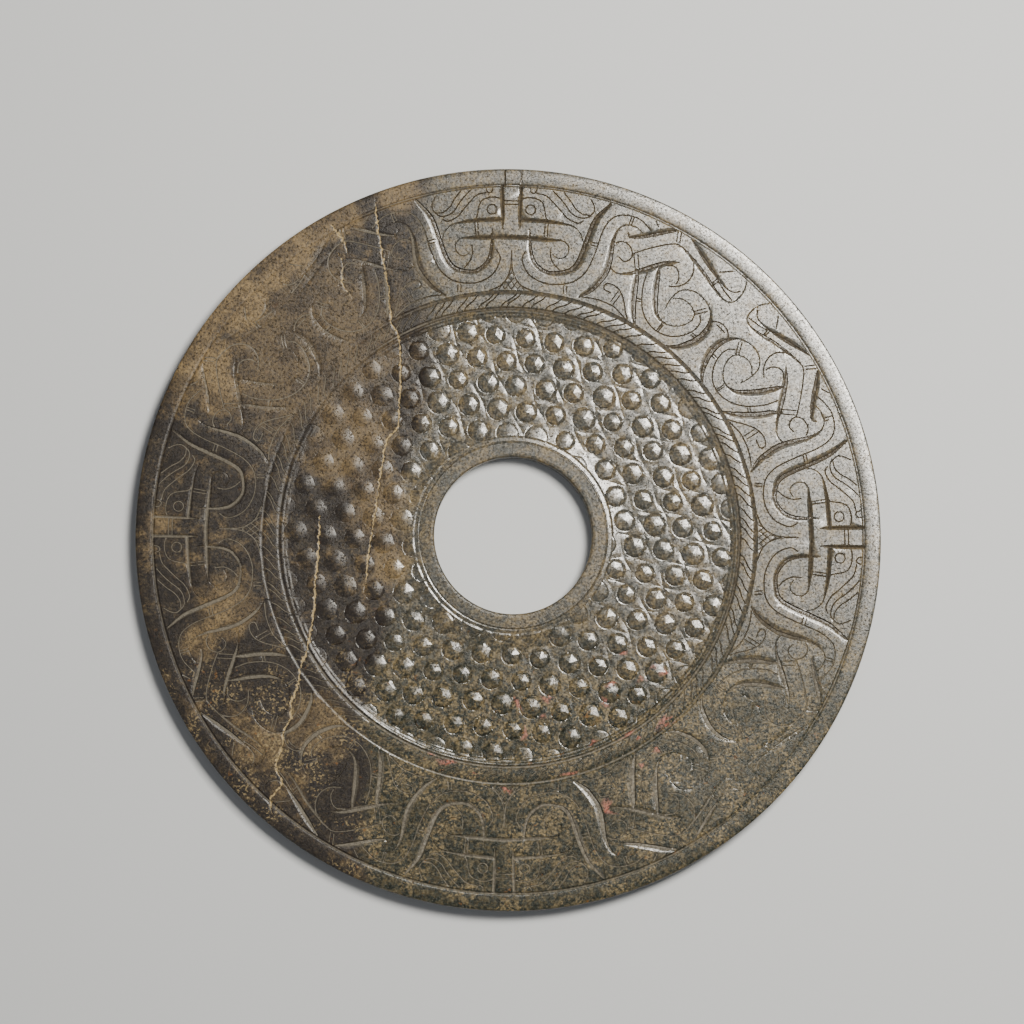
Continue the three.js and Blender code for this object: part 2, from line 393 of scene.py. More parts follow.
# %% [markdown]
# ## The frieze
#
# Half of one mask and its ribbons is drawn once, and a loop mirrors it and turns it to
# the four masks. A point is given as degrees from the mask's middle line and millimetres
# out from the frieze's inner edge, so the drawing bends with the ring by itself. The four
# masks were laid out by hand: they don't stand exactly a quarter turn apart, and each half
# is stretched to meet its neighbour.

# %% Wide cuts of half a mask
WIDE_CUTS = {
    "nose": ([(1.6, 33.9), (1.6, 28), (1.6, 23.5), (1.6, 20)], [1.3, 1.3, 1.2, .4], 0, .5),
    "brow": ([(1.7, 23.2), (6.8, 23.2), (10.7, 23), (12, 22.1), (12.9, 20.6), (13.4, 18.7)],
             [1.5, 1.3, .6, .45, .45, .4], 0, .5),
    "mouth": ([(0, 17.3), (6, 17.4), (7.8, 17.5), (9.8, 17.7), (10.9, 16.5), (11.2, 14.5),
               (10.7, 12.6), (9.7, 11.8), (8.5, 12.5)],
              [1.5, 1.5, 1, .5, .45, .45, .45, .45, .4], 0, .5),
    "jaw": ([(3.5, 19.9), (3.6, 15.3), (4.1, 11.2), (5.3, 8.4), (7.9, 6.4), (10.9, 7.2),
             (12.8, 9.1), (13.8, 13.1), (14.4, 20.6), (15, 26.8), (16.4, 32.9)],
            [.5, 1.2, 1.5, 1.5, 1.4, 1.6, 2, 2.2, 2.2, 2, 1], 1, .7),
    "ribbon_back": ([(23.2, 27.8), (22, 28.6), (20.5, 28.5), (19.4, 27.1), (18.8, 24.9),
                     (18.6, 21), (18.9, 15.8), (18.9, 10.7), (17.6, 4.9), (15.7, 1.1)],
                    [.4, .45, .45, .5, .8, 1.5, 2.2, 2.3, 2, .8], 1, .7),
    "body_top": ([(20.8, 26.1), (21.1, 24.9), (21.8, 25.1), (23.6, 27.1), (25.3, 29.5),
                  (26.6, 31.4), (28.2, 33.4)], [.4, .5, 1, 1.7, 2, 1.8, 1], -1, .6),
    "body_under": ([(19.2, 14.8), (19.7, 13.3), (21.4, 12.3), (23.5, 13.6), (25.3, 15.6),
                    (27.1, 18.2), (28.6, 20.6), (30, 22.9), (31.8, 25.1)],
                   [.4, .45, .5, .9, 1.7, 2.1, 2, 1.5, .3], 1, .6),
    "tail_top": ([(31.6, 33.6), (34.3, 31.4), (36.6, 29.6), (38.4, 28.4), (40.3, 27.3)],
                 [.8, 1.8, 1.7, 1.1, .4], -1, .6),
    "tail_under": ([(30.8, 29.7), (33.6, 28), (36.6, 26.2), (39.2, 24.5), (41.7, 23.8),
                    (43, 24.7), (43.5, 27.3), (43.2, 30.9), (42.5, 33.3)],
                   [.5, 1.1, 1.4, 1.1, .6, .5, .45, .45, .4], 1, .5),
    "spiral_back": ([(24.8, 16.2), (25.5, 13.1), (26.5, 8.3), (28.2, 3.3), (30.3, 0)],
                    [.7, 2, 2.4, 2.2, .7], 1, .7),
    "spiral_heart": ([(28.4, 21.8), (29.1, 18.2), (30.1, 13.6), (31.6, 9.2), (33.3, 6.5),
                      (35.3, 5.6), (37.2, 6.4), (38.7, 8.4), (39.5, 10.8), (39.6, 13.1),
                      (38.8, 14.9), (37.3, 16), (35.6, 15.8), (34.1, 14.3)],
                     [.3, 1.6, 2.2, 2, 1.1, .6, .45, .45, .45, .45, .45, .45, .45, .4], 1, .7),
    "spiral_front": ([(34, 9.9), (33.8, 12.9), (34.2, 16.7), (35.3, 18.9), (37.2, 20.2),
                      (39.3, 19.9), (41.2, 18.4), (42.5, 16), (43.3, 12.8), (43.3, 8.6),
                      (42.4, 4.7), (41, 1.7), (39.2, 0)],
                     [.4, .45, .45, .45, .5, .5, .6, 1.2, 2.1, 2.4, 2.3, 1.6, .7], -1, .7),
}

# %% [markdown]
# The wide cuts model the forms, and the fine lines draw on them: the eye, the hair, the
# ribbon's stripes and curls.

# %% Fine lines of half a mask
FINE_LINES = {
    "eyelid": [(2, 29.9), (2.7, 30.4), (4, 30.4), (5.2, 29.6), (5.8, 28), (6.1, 26),
               (6.4, 24.2), (7.1, 23.1)],
    "cheek": [(7.8, 14.9), (7.9, 12.2), (8.8, 9.7), (10.1, 8.1)],
    "ribbon_vein": [(2.9, 13), (2.3, 11.2), (2.3, 9.6), (3.2, 6.6), (4.9, 4.3), (8, 2.9),
                    (11.4, 3.6), (13.8, 5.6), (15.4, 9.7), (16.1, 16.5), (16.4, 23.4),
                    (17.2, 28), (18.4, 30.4), (20.4, 31.6), (22.3, 31.4), (24.5, 29.6)],
    "bend_rim": [(24.5, 33.3), (25.4, 31.8)],
    "chin": [(0, 12.8), (.05, 9), (.3, 6.2), (1.1, 3.5), (2.6, 1.3), (5.2, 0)],
    "body_middle": [(23.1, 20.4), (25.1, 23.4), (27.4, 26.8), (29.1, 29.1), (30.2, 29.9)],
    "scroll": [(19.3, 21.3), (20, 22.3), (21.1, 22.5), (22.2, 21.7), (23, 19.6),
               (22.6, 17.6), (21.7, 16.8), (20.7, 17.5)],
    "claw_outer": [(30.2, 29.8), (32.1, 29.2), (33.6, 27.8), (34.6, 25.4), (34.9, 22.7),
                   (34.4, 19.9), (33.5, 18.2), (32.3, 16.9)],
    "claw_inner": [(29.8, 21.9), (31.2, 23.1), (32.3, 22.4), (33.1, 20.6), (33.2, 18.8)],
    "leaf_curl": [(40.3, 27.3), (41.5, 27.3), (42.4, 28.1), (42.8, 29.3)],
    "leaf_nick": [(39.8, 32.9), (38.3, 29.9)],
    "leaf_vein": [(39.2, 27.1), (40.8, 26.1), (42.8, 25.4)],
    "spiral_vein": [(27.1, 16.9), (27.5, 12.8), (28.8, 8.1), (30.5, 4.8), (32.8, 2.7),
                    (35.4, 2), (38.2, 3.1), (40.2, 6), (41.3, 9.9), (41.2, 13.3), (40.3, 14.9)],
    "link": [(42.8, 16), (43.8, 17.3), (45, 17.7)],
    "link_tick": [(44, 16.2), (45, 16.3)],
    "sprig_lower": [(16.6, 1.2), (19.2, 1.9), (21.8, 2), (24.3, 1.7), (26.1, .8), (27.8, 0)],
    "sprig_upper": [(21.8, 5.6), (20.2, 5.8), (19.9, 7), (20.4, 8), (22, 8.2), (23.6, 7.3),
                    (25.3, 5), (26.9, 2.1), (28.2, .2)],
    "lash": [(3.2, 33.6), (3.3, 32.5), (3.8, 31.9), (4.2, 32.5), (4.3, 33.4)],
    "hair_1": [(4.4, 32.1), (6, 31.5), (7.3, 29.6), (8.8, 27.1), (9.8, 25.4), (11, 24.4),
               (12.1, 24.2), (12.8, 25.2)],
    "hair_2": [(7, 33.3), (8.2, 31.5), (9.4, 29.3), (10.5, 27.1), (11.7, 26.1), (13, 26.2),
               (13.6, 27)],
    "hair_3": [(8.8, 33.3), (10.1, 30.9), (11.1, 28.7), (12.4, 27.4), (13.6, 27.5)],
    "hair_4": [(13.2, 32.9), (13.9, 31.1), (14.2, 29.2), (13.7, 27.3)],
}

# Pairs of short cross lines on the ribbons: first line's two ends, then the step to the
# second line.
CROSS_PAIRS = [
    ((0, 29.2), (1.5, 29.2), (0, -1.2)),
    ((14.8, 19.3), (16, 19.3), (0, -1)),
    ((6.3, 22.5), (6.3, 18.1), (.55, 0)),
    ((11.7, 2.9), (12.1, .8), (.7, .2)),
    ((20.4, 31.4), (20.4, 28.8), (.45, 0)),
    ((23.3, 19.9), (24.6, 16), (.65, .8)),
    ((28.8, 33.4), (29.4, 30.4), (.6, .1)),
    ((38.6, 27.5), (38.4, 25.4), (.45, -.1)),
    ((38.8, 14.6), (40.3, 18.1), (.5, -.6)),
    ((41.5, 8.9), (42.7, 8.9), (0, -.8)),
    ((35.3, 4.9), (35.3, 2.3), (.45, 0)),
    ((27.6, 7.8), (28.6, 8.2), (.15, -.8)),
    ((23.2, 6.9), (22.7, 3), (.8, -.7)),
]
EYE = (3.5, 26.5)
EYE_RADIUS = 1.6

# %% [markdown]
# ### Four masks from one drawing
#
# The half is mirrored and turned to all four masks. Copies would be too perfect for work
# by hand, so every half gets its own slow drift of a fraction of a millimetre, which
# fades towards the middle line and the neighbour, where the lines have to meet.

# %% Lay the drawing round the ring
SPREAD = 1.2
LINE_WIDTH = 0.5
LINE_DEPTH = 0.22
HALF_TURN = 45.0


def wander(amount):
    """A slow, small drift of the hand, in degrees and millimetres."""
    phase = rng.uniform(0, 2 * math.pi, 4)

    def drift(point):
        degrees, out = point
        side = math.sin(degrees * .21 + phase[0]) + .6 * math.sin(out * .19 + phase[1])
        up = math.sin(degrees * .17 + phase[2]) + .6 * math.sin(out * .23 + phase[3])
        free = math.sin(math.pi * min(max(degrees / HALF_TURN, 0), 1)) ** .5
        free_up = math.sin(math.pi * min(max(out / 34, 0), 1)) * free
        return degrees + amount * .4 * side * free, out + amount * .5 * up * free_up
    return drift


def frieze_strokes():
    strokes = []
    for number, turn in enumerate(MASK_TURNS):
        for side in (1, -1):
            neighbour = MASK_TURNS[(number + side) % 4]
            gap = ((neighbour - turn) * side) % 360
            stretch = gap / 2 / HALF_TURN
            drift = wander(0.7)

            def place(point):
                degrees, out = drift(point)
                angle = math.radians(turn + side * stretch * degrees)
                away = FRIEZE_INNER + out
                return (away * math.sin(angle), away * math.cos(angle))

            def add(knots, widths, lean, depth):
                strokes.append(make_stroke([place(knot) for knot in knots], widths, depth,
                                           lean * side))

            for knots, widths, lean, depth in WIDE_CUTS.values():
                add(knots, [w * SPREAD if w > .6 else w for w in widths], lean, .95 * depth)
            for knots in FINE_LINES.values():
                add(knots, LINE_WIDTH, 0, LINE_DEPTH)
            for start, end, step in CROSS_PAIRS:
                second = [(p[0] + step[0], p[1] + step[1]) for p in (start, end)]
                add([start, end], LINE_WIDTH * .9, 0, LINE_DEPTH)
                add(second, LINE_WIDTH * .9, 0, LINE_DEPTH)
            centre = np.array(place(EYE))
            turns = np.radians(np.arange(0, 361, 24))
            circle = centre + EYE_RADIUS * np.stack([np.cos(turns), np.sin(turns)], axis=1)
            strokes.append(make_stroke(circle, LINE_WIDTH, LINE_DEPTH))
    return strokes


masks = frieze_strokes()
print("strokes in the frieze:", len(masks))

# %% [markdown]
# Between the two chin lines of each mask lies a small triangle filled with crossed lines.
# The cord band needs one slanted line for each strand, a little curved like an S.

# %% Chin hatching and the cord's strands
def polar(turn, away):
    angle = math.radians(turn)
    return (away * math.sin(angle), away * math.cos(angle))


CHIN_HEIGHT = 5.6
CHIN_FOOT = 2.9


def chin_hatching():
    """Crossed lines inside a small triangle that stands on the border and points outwards."""
    strokes = []
    for turn in MASK_TURNS:
        for side in (1, -1):
            for step in range(4):
                foot = side * CHIN_FOOT * (1 - .5 * step)
                far = CHIN_HEIGHT * (1 - .24 * step)
                meet = -side * CHIN_FOOT * (1 - far / CHIN_HEIGHT)
                ends = [polar(turn + foot, FRIEZE_INNER + .2), polar(turn + meet, FRIEZE_INNER + far)]
                strokes.append(make_stroke(ends, LINE_WIDTH * .7, LINE_DEPTH * .7))
    return strokes


STRANDS = 131
STRAND_SLANT = 3.9


def cord_strands():
    strokes = []
    for strand in range(STRANDS):
        turn = 360 * (strand + .3 * rng.uniform(-1, 1)) / STRANDS
        slant = STRAND_SLANT * rng.uniform(.85, 1.1)
        knots = [polar(turn, CORD_INNER - .1), polar(turn + .22 * slant, CORD_INNER + 1.3),
                 polar(turn + .72 * slant, CORD_OUTER - 1.3), polar(turn + slant, CORD_OUTER + .2)]
        strokes.append(make_stroke(knots, [.3, .5, .5, .4], .3))
    return strokes


def rim_ticks():
    """Two short lines that carry the top mask's nose on across the rim."""
    strokes = []
    for turn in (-1.1, 1.5):
        ends = [polar(turn + MASK_TURNS[0], 114.2), polar(turn + MASK_TURNS[0], 119.4)]
        strokes.append(make_stroke(ends, [LINE_WIDTH, LINE_WIDTH * 1.5], .3))
    return strokes


masks += rim_ticks()
cord = cord_strands()
strokes = masks + chin_hatching() + cord
print("strokes in all:", len(strokes))

# %% [markdown]
# ### Cracks
#
# Two long cracks and a short branched one run through the weathered side, each filled with
# pale earth. They are given as points in millimetres from the disc's middle, and a width.

# %% Cracks
CRACKS = [
    ([(-43.7, 109.4), (-42.5, 99.3), (-40.6, 88.3), (-39.1, 80.3), (-38.2, 69.4), (-35.9, 64.9),
      (-35.2, 53.8), (-35.5, 44.3), (-35.9, 35.7), (-39.4, 31.1), (-41.3, 21.7), (-42.9, 9.8),
      (-44.7, -2.1), (-45.5, -8.8), (-46.3, -16.2)], 1.0),
    ([(-59, 102.8), (-57.1, 100.2), (-53.9, 96.1), (-52.3, 91.2)], 1.0),
    ([(-55.5, 92.2), (-54.2, 88.3), (-53.9, 81.9), (-51.1, 77.6)], .8),
    ([(-61, 6.3), (-61.4, -4.6), (-62.2, -14.6), (-62.7, -23), (-63.9, -31.3), (-65.1, -37.3),
      (-66.9, -42.3), (-67.7, -48.1), (-69.8, -54), (-69.8, -58.2), (-72.2, -63.2),
      (-72.7, -67.4), (-74.5, -74.1), (-72.7, -79.3), (-76.1, -84.1), (-75.8, -90.8)], 1.2),
]


JAGGED = 0.32


def crack_strokes():
    """A crack is a stroke whose route and width jump at every station."""
    strokes = []
    for knots, width in CRACKS:
        stroke = make_stroke(knots, width, .22)
        stroke["route"] += rng.uniform(-JAGGED, JAGGED, stroke["route"].shape)
        stroke["breadth"] *= rng.uniform(.4, 1.2, len(stroke["breadth"]))
        stroke["breadth"][:4] *= .5
        stroke["breadth"][-8:] *= np.linspace(.9, .3, 8)
        strokes.append(stroke)
    return strokes


cracks = crack_strokes()
strokes += cracks

# %% [markdown]
# ### Cutting
#
# Now the points slide onto the edges of the strokes, and the depth of every cut is worked
# out. The fine lines and the wide cuts are kept apart, because wear treats them
# differently.

# %% Cut the strokes
SNAP = 0.13
finder = Finder(points[face_points, :2])
moves = snap_moves(finder, strokes, SNAP)
finder = Finder(finder.plane + moves)
points[face_points, :2] = finder.plane
WIDE_FROM = 0.35
fine_strokes = [stroke for stroke in strokes if stroke["depth"] < WIDE_FROM]
wide_strokes = [stroke for stroke in strokes if stroke["depth"] >= WIDE_FROM]
fine_cut = carve(finder, fine_strokes)
wide_cut = carve(finder, wide_strokes)
print("deepest cut:", round(float(wide_cut.max()), 2), "mm")

# %% [markdown]
# ## The grain field
#
# The grains were made from three sets of straight valleys that cross at sixty degrees.
# That leaves a six-sided boss at every crossing, which a tube drill rings and a wheel
# grinds to a blunt point with flat facets. The same steps are followed here as a height
# that depends on the place in the slanted lattice. Grains beside the two borders had no
# room, so they stay low.

# %% Heights of the grains
GRAIN_STEP = np.array([9.36, -1.06])
GRAIN_ROW = np.array([3.25, -8.3])
GRAIN_START = np.array([24.2, 38.3])
GRAIN_TOP = 1.03
GRAIN_PROFILE = [(0, 1), (.06, 1), (.7, .6), (.86, .34), (1, 0)]
FOOT_HEIGHT = 0.1
PLINTH_HEIGHT = 0.3
VALLEY_DEPTH = 0.2
VALLEY_HALF = 1.3
VALLEY_SHARES = np.array([.85, .75, .3])
DRILL_RADIUS = 3.5
LATTICE = 32
SOFT_HUMP = .4
SOFT_REACH = 2.6
TO_LATTICE = np.linalg.inv(np.stack([GRAIN_STEP, GRAIN_ROW], axis=1))
grain_shift = rng.uniform(-.28, .28, (LATTICE, LATTICE, 2))
grain_size = rng.uniform(.88, 1.07, (LATTICE, LATTICE))
grain_turn = rng.uniform(-.3, .3, (LATTICE, LATTICE))
grain_rise = rng.uniform(.86, 1, (LATTICE, LATTICE))


def grain_heights(plane, from_hole, from_centre, kept):
    lattice = (plane - GRAIN_START) @ TO_LATTICE.T
    nearest = np.full(len(plane), np.inf)
    offset = np.zeros_like(plane)
    which = np.zeros((len(plane), 2), int)
    corner = np.floor(lattice).astype(int)
    for step in ((0, 0), (1, 0), (0, 1), (1, 1)):
        cell = corner + step
        key = cell + LATTICE // 2
        centre = GRAIN_START + cell @ np.stack([GRAIN_STEP, GRAIN_ROW])
        centre = centre + grain_shift[key[:, 0], key[:, 1]]
        away = plane - centre
        distance = np.hypot(away[:, 0], away[:, 1])
        closer = distance < nearest
        nearest[closer] = distance[closer]
        offset[closer] = away[closer]
        which[closer] = key[closer]
    size = grain_size[which[:, 0], which[:, 1]]
    turn = grain_turn[which[:, 0], which[:, 1]]
    centre = plane - offset
    room = np.minimum(np.hypot(*(centre - HOLE_SHIFT).T) - FIELD_INNER,
                      FIELD_OUTER - np.hypot(*centre.T))
    height = GRAIN_TOP * (.35 + .65 * ease(room, 1.0, 3.4)) * grain_rise[which[:, 0], which[:, 1]]

    flat = np.zeros(len(plane))
    for facet in range(6):
        direction = math.radians(60 * facet + 32) + turn
        reach = offset[:, 0] * np.cos(direction) + offset[:, 1] * np.sin(direction)
        flat = np.maximum(flat, reach)
    drill = DRILL_RADIUS * size
    share = np.interp(flat / drill, *zip(*GRAIN_PROFILE))
    dome = FOOT_HEIGHT + (height - FOOT_HEIGHT) * share

    waved = lattice + .055 * np.stack([np.sin(3.9 * lattice[:, 1] + 2.1 * lattice[:, 0]),
                                       np.sin(4.3 * lattice[:, 0] - 1.7 * lattice[:, 1])], axis=1)
    valleys = np.stack([waved[:, 0], waved[:, 1], waved[:, 0] + waved[:, 1]])
    spacing = np.array([8.33, 7.88, 7.84])[:, None]
    valley = np.abs(valleys - np.floor(valleys) - .5) * spacing
    cut = np.clip(1 - valley / VALLEY_HALF, 0, 1) * VALLEY_SHARES[:, None]
    strength = .3 + .45 * ease(plane.sum(axis=1), -50, 50) + .25 * np.sin(2.9 * lattice.sum(axis=1))
    ground = PLINTH_HEIGHT - VALLEY_DEPTH * strength * cut.max(axis=0)
    ring = np.clip(1 - np.abs(nearest - drill) / .34, 0, 1)
    crisp_grain = np.where(nearest < drill, dome, ground) - .06 * ring
    hump = SOFT_HUMP * height * np.exp(-(nearest / SOFT_REACH) ** 2)
    surface = crisp_grain * kept + hump * (1 - kept)
    edge = np.minimum(ease(from_hole, FIELD_INNER - .3, FIELD_INNER + .6),
                      ease(-from_centre, -FIELD_OUTER - .3, -FIELD_OUTER + .6))
    return surface * edge


# %% [markdown]
# ## Wear
#
# The carving isn't equally deep everywhere. Weather and polish have flattened it on the
# left and on a stretch at the lower right. Where the stone is worn, its
# high places have come down and its low ones have filled with earth, so both settle
# towards one level. A few soft round patches say how much.

# %% Wear of the relief
WORN_LEVEL = FACE - 0.4
LOST_LAYER = 0.5
WORN_PATCHES = [((-74, 76), 54, .85), ((-60, 34), 38, .72), ((-48, 4), 32, .6),
                ((-56, -40), 34, .3), ((88, -78), 36, .6), ((-98, -38), 40, .15),
                ((-110, 30), 30, .4), ((60, -66), 22, .3), ((-70, -12), 30, .6)]
TRACE = 0.2
BOX_MARGIN = 0.04


def wear(plane):
    kept = np.ones(len(plane))
    for centre, size, share in WORN_PATCHES:
        distance = np.hypot(*(plane - centre).T)
        kept *= 1 - share * (1 - ease(distance, .35 * size, size))
    return kept


face_plane = points[face_points, :2]
face_radius = radius[face_points]
kept = wear(face_plane)
from_hole = np.hypot(*(face_plane - HOLE_SHIFT).T)
from_centre = np.hypot(*face_plane.T)
bare = WORN_LEVEL + (face_height[face_points] - WORN_LEVEL) * kept
left_over = np.maximum(wide_cut - LOST_LAYER * (1 - kept), TRACE * wide_cut)
heights = bare - np.maximum(left_over, fine_cut * (.5 + .5 * kept))
in_field = (face_radius > FIELD_INNER - 1) & (face_radius < FIELD_OUTER + .9)
field = np.nonzero(in_field)[0]
heights[field] += grain_heights(face_plane[field], from_hole[field], from_centre[field], kept[field])
points[face_points, 2] = np.clip(heights, 0, FACE)
points[:, 2] *= (FACE - BOX_MARGIN) / FACE
back_points = np.nonzero(on_back)[0]
points[back_points, 2] = back_height[back_points]
print("lowest and highest of the face:", round(float(heights.min()), 2), round(float(heights.max()), 2))

# %% [markdown]
# ## Thinning
#
# The fine disc has far more points than it needs where it is flat. Collapsing edges keeps
# points along every cut and takes them from the plain ground. After that the arrises are
# marked sharp, and weighted normals keep the large flat faces flat.

# %% Thin the mesh and set its shading
WANTED_TRIANGLES = 194000
RIM_MARGIN = 0.002
EDGE_CREASE = math.radians(24)
FACET_CREASE = math.radians(9)
reach = np.hypot(points[:, 0], points[:, 1])
points[:, :2] *= np.minimum(1, (OUTER_RADIUS - RIM_MARGIN) / np.maximum(reach, 1))[:, None]
disc.data.vertices.foreach_set("co", (points / 1000).astype(np.float32).ravel())
disc.data.update()
thin = disc.modifiers.new("thin", "DECIMATE")
thin.ratio = WANTED_TRIANGLES / (2 * len(disc.data.polygons))
thin.use_collapse_triangulate = True
apply_modifiers(disc)
disc.data.name = "carved_disc"
disc.data.polygons.foreach_set("use_smooth", np.ones(len(disc.data.polygons), bool))
disc.data.set_sharp_from_angle(angle=EDGE_CREASE)
crisp = bmesh.new()
crisp.from_mesh(disc.data)
for edge in crisp.edges:
    away = math.hypot(*edge.verts[0].co.xy) * 1000
    if FIELD_INNER < away < FIELD_OUTER and edge.calc_face_angle(0) > FACET_CREASE:
        edge.smooth = False
crisp.to_mesh(disc.data)
crisp.free()
even = disc.modifiers.new("even_light", "WEIGHTED_NORMAL")
even.keep_sharp = True
even.weight = 50
print("triangles of the disc:", len(disc.data.polygons))

# %% [markdown]
# ### Marks for the finish
#
# The finish needs to know where the cuts, the cracks and the traces of red pigment are, and
# where shade is painted into the colour. A texture could hold that, but the mesh already has
# points along every cut. So each point gets three numbers between nought and one, and the
# material reads them as attributes. The thinned mesh has new points, so the strokes are laid
# over it once more. The groove-and-shade mark is strongest in the fine lines and at the floor
# of the wide cuts. It also holds painted shade: the sunk ground of the field, the low places
# of the bands and the field's outer wall get a darker mark the lower they lie.

# %% Store the marks
FULL_FINE_MARK = 0.17
FULL_WIDE_MARK = 0.65
FULL_CORD_MARK = 0.2
FULL_CRACK_MARK = 0.2


def store(name, values):
    layer = disc.data.attributes.new(name, "FLOAT", "POINT")
    layer.data.foreach_set("value", np.asarray(values, np.float32))


thinned = np.empty(3 * len(disc.data.vertices), np.float32)
disc.data.vertices.foreach_get("co", thinned)
thinned = thinned.reshape(-1, 3).astype(float) * 1000
upper = np.nonzero(thinned[:, 2] > 3)[0]
upper_finder = Finder(thinned[upper, :2])
upper_radius = np.hypot(*thinned[upper, :2].T)
cut_and_shade_share = np.zeros(len(thinned))
marked = masks + chin_hatching()
fine_marks = carve(upper_finder, [stroke for stroke in marked if stroke["depth"] < WIDE_FROM])
wide_marks = carve(upper_finder, wide_strokes)
layer = LOST_LAYER * (1 - wear(upper_finder.plane))
cut_and_shade_share[upper] = np.maximum(fine_marks / FULL_FINE_MARK,
                              np.maximum(wide_marks - layer, TRACE * wide_marks)
                              / FULL_WIDE_MARK)
# Painted shade: points below the face in the bands, on the field's floor and on its outer wall are
# marked darker the lower they lie.
below = FACE - .2 - thinned[upper, 2]
in_rings = (upper_radius > LIP) & (upper_radius < 117.5)
ring_depth_shade = np.clip((below - layer * .6) / .6, 0, .5) * in_rings
in_field = (upper_radius > RING_LINE) & (upper_radius <= LIP)
field_floor_shade = np.clip((FIELD_FLOOR + .2 - thinned[upper, 2]) / .4, 0, .32) * in_field
field_wall_shade = .1 * ((upper_radius > 71.2) & (upper_radius < 73.0))
cord_cut = .7 * carve(upper_finder, cord) / FULL_CORD_MARK
cut_and_shade_share[upper] = np.maximum.reduce([cut_and_shade_share[upper], ring_depth_shade, field_floor_shade, field_wall_shade, cord_cut])
cut_and_shade_share = np.clip(cut_and_shade_share, 0, 1)
store("groove_and_shade", cut_and_shade_share)
crack_share = np.zeros(len(thinned))
crack_share[upper] = np.clip(carve(upper_finder, cracks) / FULL_CRACK_MARK, 0, 1)
store("crack", crack_share)

# %% [markdown]
# Ritual discs were strewn with cinnabar, and a few smears of it are left in the carving
# at the lower right. Each one is a short broad stroke that cuts nothing.

# %% Traces of red pigment
PIGMENT_PLACES = [(36.5, -37.4), (42.5, -45.5), (45.8, -42.3), (49.7, -43.6), (50.3, -58.5),
                  (50.4, -60.6), (38.4, -63.2), (41.2, -64.8), (30.4, -53.9), (20.1, -76.4),
                  (42, -72.5), (-25.6, -70.3), (33, -47), (12, -52), (27, -66), (47, -68),
                  (-11, -76.5), (-1.3, -81), (31, -87.7), (-19, -72.5), (11.6, -57.7),
                  (5.2, -63.5), (2.6, -54)]


def pigment_dabs():
    dabs = []
    for place in PIGMENT_PLACES:
        centre = np.array(place)
        turn = rng.uniform(-1.2, 1.4)
        step = rng.uniform(.8, 2.2) * np.array([math.cos(turn), math.sin(turn)])
        dabs.append(make_stroke([centre - step, centre, centre + step],
                                [.3, rng.uniform(.9, 1.7), .3], 1.0))
    return dabs


dabs = pigment_dabs()
pigment_share = np.zeros(len(thinned))
pigment_share[upper] = np.clip(2.5 * carve(upper_finder, dabs), 0, 1)
store("pigment", pigment_share)
print("points in cuts:", int((cut_and_shade_share > .5).sum()), "in cracks:", int((crack_share > .5).sum()))

# %% [markdown]
# ## The disc in the frame
#
# The carved disc takes the place of the plain solid, on the one body there is.

# %% Place the disc in the frame
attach(disc, "root")
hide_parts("disc")

# %% [markdown]
# ## Shader helpers
#
# The stone's colour is built from a few effects that return again and again: a soft patch
# with a ragged edge, a cloud of noise between two limits, and a mix of colours. Each is a
# node group or a short function, so the recipe of the jade itself stays short.

# %% Node helpers
FLOAT = "NodeSocketFloat"
VECTOR = "NodeSocketVector"


class Recipe:
    """Adds nodes to one tree and joins them with short calls."""

    def __init__(self, tree):
        self.tree = tree
        self.nodes = tree.nodes
        self.column = 0

    def node(self, kind, **settings):
        made = self.nodes.new(kind)
        self.column += 1
        made.location = (180 * self.column, -40 * (self.column % 7))
        for name, value in settings.items():
            setattr(made, name, value)
        return made

    def feed(self, socket, value):
        if isinstance(value, bpy.types.NodeSocket):
            self.tree.links.new(value, socket)
        elif hasattr(socket.default_value, "__len__") and len(socket.default_value) == 4:
            socket.default_value = (*value, 1) if len(value) == 3 else value
        else:
            socket.default_value = value

    def maths(self, how, first, second=0.0, third=0.0, clamp=False):
        made = self.node("ShaderNodeMath", operation=how, use_clamp=clamp)
        for socket, value in zip(made.inputs, (first, second, third)):
            self.feed(socket, value)
        return made.outputs[0]

    def vector(self, how, first, second=(0, 0, 0), scale=1.0):
        made = self.node("ShaderNodeVectorMath", operation=how)
        self.feed(made.inputs[0], first)
        if how == "SCALE":
            self.feed(made.inputs["Scale"], scale)
        else:
            self.feed(made.inputs[1], second)
        return made.outputs["Value" if how in ("LENGTH", "DISTANCE") else "Vector"]

    def between(self, value, low, high, start=0.0, end=1.0):
        made = self.node("ShaderNodeMapRange", interpolation_type="SMOOTHSTEP")
        for socket, given in zip(made.inputs, (value, low, high, start, end)):
            self.feed(socket, given)
        return made.outputs[0]

    def noise(self, where, scale, detail=3.0, rough=0.55, stretch=0.0):
        made = self.node("ShaderNodeTexNoise")
        self.feed(made.inputs["Vector"], where)
        self.feed(made.inputs["Scale"], scale)
        self.feed(made.inputs["Detail"], detail)
        self.feed(made.inputs["Roughness"], rough)
        self.feed(made.inputs["Distortion"], stretch)
        return made.outputs["Fac"]

    def blend(self, mask, ground, over, how="MIX"):
        made = self.node("ShaderNodeMix", data_type="RGBA", blend_type=how)
        self.feed(made.inputs["Factor"], mask)
        self.feed(made.inputs["A"], ground)
        self.feed(made.inputs["B"], over)
        return made.outputs["Result"]

    def group(self, tree, **values):
        made = self.node("ShaderNodeGroup", node_tree=tree)
        for name, value in values.items():
            self.feed(made.inputs[name], value)
        return made.outputs[0]


